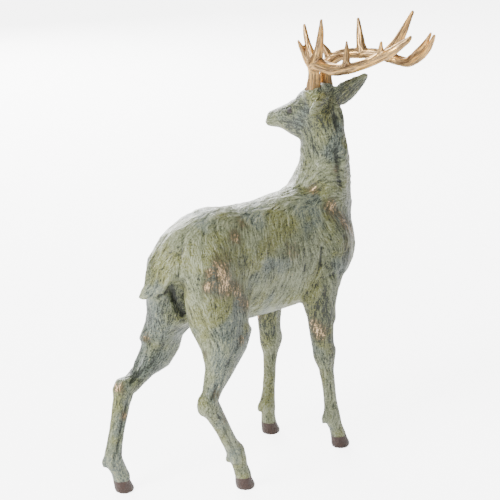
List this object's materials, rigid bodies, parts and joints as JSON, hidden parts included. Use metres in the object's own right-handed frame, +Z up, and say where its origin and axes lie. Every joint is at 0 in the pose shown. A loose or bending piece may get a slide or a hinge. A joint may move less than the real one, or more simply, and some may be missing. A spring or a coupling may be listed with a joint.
{
  "type": "resin deer figurine",
  "caption": "Standing antlered stag figurine in weathered green patina with gilded antlers, head turned to look back over its left shoulder.",
  "frame": {"origin": "on the ground, under the middle of the bounding box", "axes": "+X is the way the body faces, +Y is the animal's left, +Z is up"},
  "size_m": [0.3175, 0.1852, 0.4467],
  "materials": {
    "patina_resin": "hand-tooled resin, sage green patina over dark grey-green with copper rubbed highlights, brown hooves, satin",
    "gilded_resin": "antique gold paint with brown in the grooves, semi-gloss"
  },
  "bodies": {
    "root": {"body": "patina_resin", "antler_left": "gilded_resin", "antler_right": "gilded_resin"}
  },
  "joints": []
}
